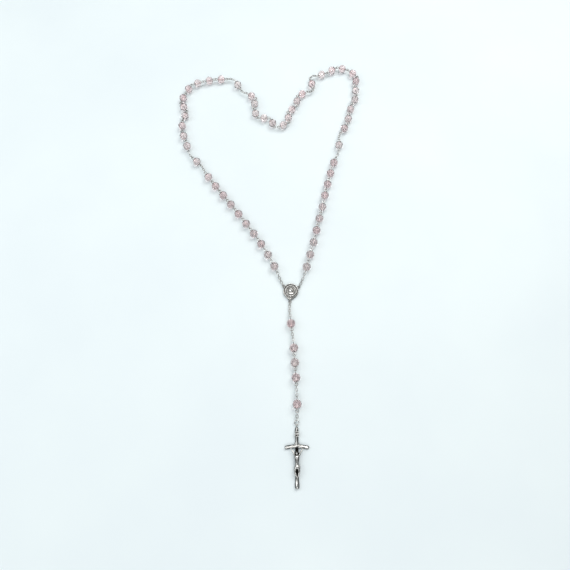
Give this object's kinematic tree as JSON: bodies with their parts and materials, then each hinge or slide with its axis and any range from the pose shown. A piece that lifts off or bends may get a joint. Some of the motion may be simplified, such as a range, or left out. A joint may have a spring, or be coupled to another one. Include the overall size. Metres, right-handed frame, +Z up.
{
  "type": "rosary",
  "caption": "Five-decade rosary of faceted glass beads on eye pins, with chain, a small centre medal and a crucifix.",
  "frame": {"origin": "middle of the footprint, on the surface that the rosary lies on", "axes": "+Z up, +Y from the crucifix to the dip of the heart, +X to the right"},
  "size_m": [0.15, 0.332, 0.006],
  "materials": {
    "pink_glass": "clear, faceted",
    "silver_wire": "bright plated wire",
    "old_silver": "cast, dark in the hollows, polished on the high parts"
  },
  "bodies": {
    "medal": {"medal": "old_silver"},
    "medal_chain_left": {"medal_chain_left": "silver_wire"},
    "decade_1a": {"decade_1a_beads": "pink_glass", "decade_1a_pins": "silver_wire"},
    "decade_1b": {"decade_1b_beads": "pink_glass", "decade_1b_pins": "silver_wire"},
    "our_father_1_chain_a": {"our_father_1_chain_a": "silver_wire"},
    "our_father_1": {"our_father_1_pin": "silver_wire"},
    "our_father_1_bead": {"our_father_1_bead": "pink_glass"},
    "our_father_1_chain_b": {"our_father_1_chain_b": "silver_wire"},
    "decade_2a": {"decade_2a_beads": "pink_glass", "decade_2a_pins": "silver_wire"},
    "decade_2b": {"decade_2b_beads": "pink_glass", "decade_2b_pins": "silver_wire"},
    "our_father_2_chain_a": {"our_father_2_chain_a": "silver_wire"},
    "our_father_2": {"our_father_2_pin": "silver_wire"},
    "our_father_2_bead": {"our_father_2_bead": "pink_glass"},
    "our_father_2_chain_b": {"our_father_2_chain_b": "silver_wire"},
    "decade_3a": {"decade_3a_beads": "pink_glass", "decade_3a_pins": "silver_wire"},
    "medal_chain_right": {"medal_chain_right": "silver_wire"},
    "decade_5b": {"decade_5b_beads": "pink_glass", "decade_5b_pins": "silver_wire"},
    "decade_5a": {"decade_5a_beads": "pink_glass", "decade_5a_pins": "silver_wire"},
    "our_father_4_chain_b": {"our_father_4_chain_b": "silver_wire"},
    "our_father_4": {"our_father_4_pin": "silver_wire"},
    "our_father_4_bead": {"our_father_4_bead": "pink_glass"},
    "our_father_4_chain_a": {"our_father_4_chain_a": "silver_wire"},
    "decade_4b": {"decade_4b_beads": "pink_glass", "decade_4b_pins": "silver_wire"},
    "decade_4a": {"decade_4a_beads": "pink_glass", "decade_4a_pins": "silver_wire"},
    "our_father_3_chain_b": {"our_father_3_chain_b": "silver_wire"},
    "our_father_3": {"our_father_3_pin": "silver_wire"},
    "our_father_3_bead": {"our_father_3_bead": "pink_glass"},
    "our_father_3_chain_a": {"our_father_3_chain_a": "silver_wire"},
    "decade_3b": {"decade_3b_beads": "pink_glass", "decade_3b_pins": "silver_wire"},
    "medal_chain_pendant": {"medal_chain_pendant": "silver_wire"},
    "our_father_5": {"our_father_5_pin": "silver_wire"},
    "our_father_5_bead": {"our_father_5_bead": "pink_glass"},
    "pendant_chain_upper": {"pendant_chain_upper": "silver_wire"},
    "hail_mary_1": {"hail_mary_1_pin": "silver_wire"},
    "hail_mary_1_bead": {"hail_mary_1_bead": "pink_glass"},
    "hail_mary_2": {"hail_mary_2_pin": "silver_wire"},
    "hail_mary_2_bead": {"hail_mary_2_bead": "pink_glass"},
    "hail_mary_3": {"hail_mary_3_pin": "silver_wire"},
    "hail_mary_3_bead": {"hail_mary_3_bead": "pink_glass"},
    "pendant_chain_lower": {"pendant_chain_lower": "silver_wire"},
    "our_father_6": {"our_father_6_pin": "silver_wire"},
    "our_father_6_bead": {"our_father_6_bead": "pink_glass"},
    "crucifix_chain": {"crucifix_chain": "silver_wire"},
    "crucifix_jump_ring": {"crucifix_jump_ring": "silver_wire"},
    "crucifix": {"crucifix_cross": "old_silver", "crucifix_plaque": "old_silver", "crucifix_corpus": "old_silver"}
  },
  "joints": [
    {"name": "medal_chain_left_lift", "type": "hinge", "parent": "medal", "child": "medal_chain_left", "pos_m": [0.01096, -0.031, 0.00105], "axis": [-0.8683, -0.4961, 0], "range_deg": [-60, 60]},
    {"name": "decade_1a_sideways", "type": "hinge", "parent": "medal_chain_left", "child": "decade_1a", "pos_m": [0.00698, -0.02194, 0.003], "axis": [0, 0, 1], "range_deg": [0, 60]},
    {"name": "decade_1b_sideways", "type": "hinge", "parent": "decade_1a", "child": "decade_1b", "pos_m": [-0.01953, 0.02091, 0.003], "axis": [0, 0, -1], "range_deg": [-60, 0]},
    {"name": "our_father_1_chain_a_lift", "type": "hinge", "parent": "decade_1b", "child": "our_father_1_chain_a", "pos_m": [-0.05037, 0.06165, 0.003], "axis": [0.9154, 0.4026, 0], "range_deg": [-60, 60]},
    {"name": "our_father_1_sideways", "type": "hinge", "parent": "our_father_1_chain_a", "child": "our_father_1", "pos_m": [-0.05332, 0.06755, 0.003], "axis": [0, 0, 1], "range_deg": [0, 60]},
    {"name": "our_father_1_spin", "type": "hinge", "parent": "our_father_1", "child": "our_father_1_bead", "pos_m": [-0.05715, 0.07128, 0.003], "axis": [-0.7162, 0.6979, 0], "continuous": true},
    {"name": "our_father_1_chain_b_lift", "type": "hinge", "parent": "our_father_1", "child": "our_father_1_chain_b", "pos_m": [-0.06099, 0.07502, 0.003], "axis": [0.7251, 0.6886, 0], "range_deg": [-60, 60]},
    {"name": "decade_2a_sideways", "type": "hinge", "parent": "our_father_1_chain_b", "child": "decade_2a", "pos_m": [-0.06421, 0.08067, 0.003], "axis": [0, 0, 1], "range_deg": [0, 60]},
    {"name": "decade_2b_sideways", "type": "hinge", "parent": "decade_2a", "child": "decade_2b", "pos_m": [-0.07389, 0.12759, 0.003], "axis": [0, 0, -1], "range_deg": [-60, 30]},
    {"name": "our_father_2_chain_a_lift", "type": "hinge", "parent": "decade_2b", "child": "our_father_2_chain_a", "pos_m": [-0.03615, 0.15223, 0.003], "axis": [-0.1309, 0.9914, 0], "range_deg": [-60, 60]},
    {"name": "our_father_2_sideways", "type": "hinge", "parent": "our_father_2_chain_a", "child": "our_father_2", "pos_m": [-0.02994, 0.15086, 0.003], "axis": [0, 0, 1], "range_deg": [-60, 0]},
    {"name": "our_father_2_spin", "type": "hinge", "parent": "our_father_2", "child": "our_father_2_bead", "pos_m": [-0.0273, 0.14621, 0.003], "axis": [0.4927, -0.8702, 0], "continuous": true},
    {"name": "our_father_2_chain_b_lift", "type": "hinge", "parent": "our_father_2", "child": "our_father_2_chain_b", "pos_m": [-0.02467, 0.14155, 0.003], "axis": [0.9169, 0.3991, 0], "range_deg": [-60, 60]},
    {"name": "decade_3a_sideways", "type": "hinge", "parent": "our_father_2_chain_b", "child": "decade_3a", "pos_m": [-0.01987, 0.1377, 0.003], "axis": [0, 0, 1], "range_deg": [-60, 0]},
    {"name": "medal_chain_right_lift", "type": "hinge", "parent": "medal", "child": "medal_chain_right", "pos_m": [0.02265, -0.03185, 0.00105], "axis": [0.8765, -0.4814, 0], "range_deg": [-60, 60]},
    {"name": "decade_5b_sideways", "type": "hinge", "parent": "medal_chain_right", "child": "decade_5b", "pos_m": [0.02664, -0.02279, 0.003], "axis": [0, 0, -1], "range_deg": [0, 60]},
    {"name": "decade_5a_sideways", "type": "hinge", "parent": "decade_5b", "child": "decade_5a", "pos_m": [0.03952, 0.02603, 0.003], "axis": [0, 0, -1], "range_deg": [0, 60]},
    {"name": "our_father_4_chain_b_lift", "type": "hinge", "parent": "decade_5a", "child": "our_father_4_chain_b", "pos_m": [0.05276, 0.07529, 0.003], "axis": [-0.8765, 0.4814, 0], "range_deg": [-60, 60]},
    {"name": "our_father_4_sideways", "type": "hinge", "parent": "our_father_4_chain_b", "child": "our_father_4", "pos_m": [0.05529, 0.08135, 0.003], "axis": [0, 0, -1], "range_deg": [0, 60]},
    {"name": "our_father_4_spin", "type": "hinge", "parent": "our_father_4", "child": "our_father_4_bead", "pos_m": [0.05555, 0.0867, 0.003], "axis": [0.0484, 0.9988, 0], "continuous": true},
    {"name": "our_father_4_chain_a_lift", "type": "hinge", "parent": "our_father_4", "child": "our_father_4_chain_a", "pos_m": [0.05581, 0.09204, 0.003], "axis": [-0.9997, -0.0236, 0], "range_deg": [-60, 60]},
    {"name": "decade_4b_sideways", "type": "hinge", "parent": "our_father_4_chain_a", "child": "decade_4b", "pos_m": [0.05745, 0.09827, 0.003], "axis": [0, 0, 1], "range_deg": [-60, 30]},
    {"name": "decade_4a_sideways", "type": "hinge", "parent": "decade_4b", "child": "decade_4a", "pos_m": [0.07048, 0.14506, 0.003], "axis": [0, 0, -1], "range_deg": [-30, 0]},
    {"name": "our_father_3_chain_b_lift", "type": "hinge", "parent": "decade_4a", "child": "our_father_3_chain_b", "pos_m": [0.03838, 0.15531, 0.003], "axis": [-0.081, -0.9967, 0], "range_deg": [-60, 60]},
    {"name": "our_father_3_sideways", "type": "hinge", "parent": "our_father_3_chain_b", "child": "our_father_3", "pos_m": [0.03339, 0.1524, 0.003], "axis": [0, 0, 1], "range_deg": [0, 45]},
    {"name": "our_father_3_spin", "type": "hinge", "parent": "our_father_3", "child": "our_father_3_bead", "pos_m": [0.03499, 0.14729, 0.003], "axis": [0.2983, -0.9545, 0], "continuous": true},
    {"name": "our_father_3_chain_a_lift", "type": "hinge", "parent": "our_father_3", "child": "our_father_3_chain_a", "pos_m": [0.03658, 0.14219, 0.003], "axis": [-0.9675, 0.2528, 0], "range_deg": [-60, 60]},
    {"name": "decade_3b_sideways", "type": "hinge", "parent": "our_father_3_chain_a", "child": "decade_3b", "pos_m": [0.03152, 0.13905, 0.003], "axis": [0, 0, 1], "range_deg": [0, 60]},
    {"name": "medal_chain_pendant_lift", "type": "hinge", "parent": "medal", "child": "medal_chain_pendant", "pos_m": [0.01584, -0.04458, 0.00105], "axis": [-0.9976, 0.0698, 0], "range_deg": [-60, 60]},
    {"name": "our_father_5_sideways", "type": "hinge", "parent": "medal_chain_pendant", "child": "our_father_5", "pos_m": [0.01601, -0.05448, 0.003], "axis": [0, 0, 1], "range_deg": [-60, 60]},
    {"name": "our_father_5_spin", "type": "hinge", "parent": "our_father_5", "child": "our_father_5_bead", "pos_m": [0.01657, -0.0598, 0.003], "axis": [0.1045, -0.9945, 0], "continuous": true},
    {"name": "pendant_chain_upper_lift", "type": "hinge", "parent": "our_father_5", "child": "pendant_chain_upper", "pos_m": [0.01713, -0.06512, 0.003], "axis": [0.9848, 0.1736, 0], "range_deg": [-60, 60]},
    {"name": "hail_mary_1_sideways", "type": "hinge", "parent": "pendant_chain_upper", "child": "hail_mary_1", "pos_m": [0.0181, -0.07165, 0.003], "axis": [0, 0, 1], "range_deg": [-60, 60]},
    {"name": "hail_mary_1_spin", "type": "hinge", "parent": "hail_mary_1", "child": "hail_mary_1_bead", "pos_m": [0.01847, -0.07698, 0.003], "axis": [0.0698, -0.9976, 0], "continuous": true},
    {"name": "hail_mary_2_sideways", "type": "hinge", "parent": "hail_mary_1", "child": "hail_mary_2", "pos_m": [0.0188, -0.08172, 0.003], "axis": [0, 0, 1], "range_deg": [-60, 60]},
    {"name": "hail_mary_2_spin", "type": "hinge", "parent": "hail_mary_2", "child": "hail_mary_2_bead", "pos_m": [0.01908, -0.08706, 0.003], "axis": [0.0523, -0.9986, 0], "continuous": true},
    {"name": "hail_mary_3_sideways", "type": "hinge", "parent": "hail_mary_2", "child": "hail_mary_3", "pos_m": [0.01933, -0.09181, 0.003], "axis": [0, 0, 1], "range_deg": [-60, 60]},
    {"name": "hail_mary_3_spin", "type": "hinge", "parent": "hail_mary_3", "child": "hail_mary_3_bead", "pos_m": [0.0197, -0.09715, 0.003], "axis": [0.0698, -0.9976, 0], "continuous": true},
    {"name": "pendant_chain_lower_lift", "type": "hinge", "parent": "hail_mary_3", "child": "pendant_chain_lower", "pos_m": [0.02008, -0.10248, 0.003], "axis": [-1, 0, 0], "range_deg": [-60, 60]},
    {"name": "our_father_6_sideways", "type": "hinge", "parent": "pendant_chain_lower", "child": "our_father_6", "pos_m": [0.02026, -0.10908, 0.003], "axis": [0, 0, -1], "range_deg": [-60, 60]},
    {"name": "our_father_6_spin", "type": "hinge", "parent": "our_father_6", "child": "our_father_6_bead", "pos_m": [0.02035, -0.11443, 0.003], "axis": [0.0175, -0.9998, 0], "continuous": true},
    {"name": "crucifix_chain_lift", "type": "hinge", "parent": "our_father_6", "child": "crucifix_chain", "pos_m": [0.02045, -0.11978, 0.003], "axis": [-0.9994, 0.0349, 0], "range_deg": [-60, 60]},
    {"name": "crucifix_jump_ring_sideways", "type": "hinge", "parent": "crucifix_chain", "child": "crucifix_jump_ring", "pos_m": [0.02013, -0.12498, 0.00168], "axis": [0, 0, -1], "range_deg": [-60, 60]},
    {"name": "crucifix_lift", "type": "hinge", "parent": "crucifix_jump_ring", "child": "crucifix", "pos_m": [0.01997, -0.12728, 0.0011], "axis": [-1, 0, 0], "range_deg": [-60, 60]}
  ]
}
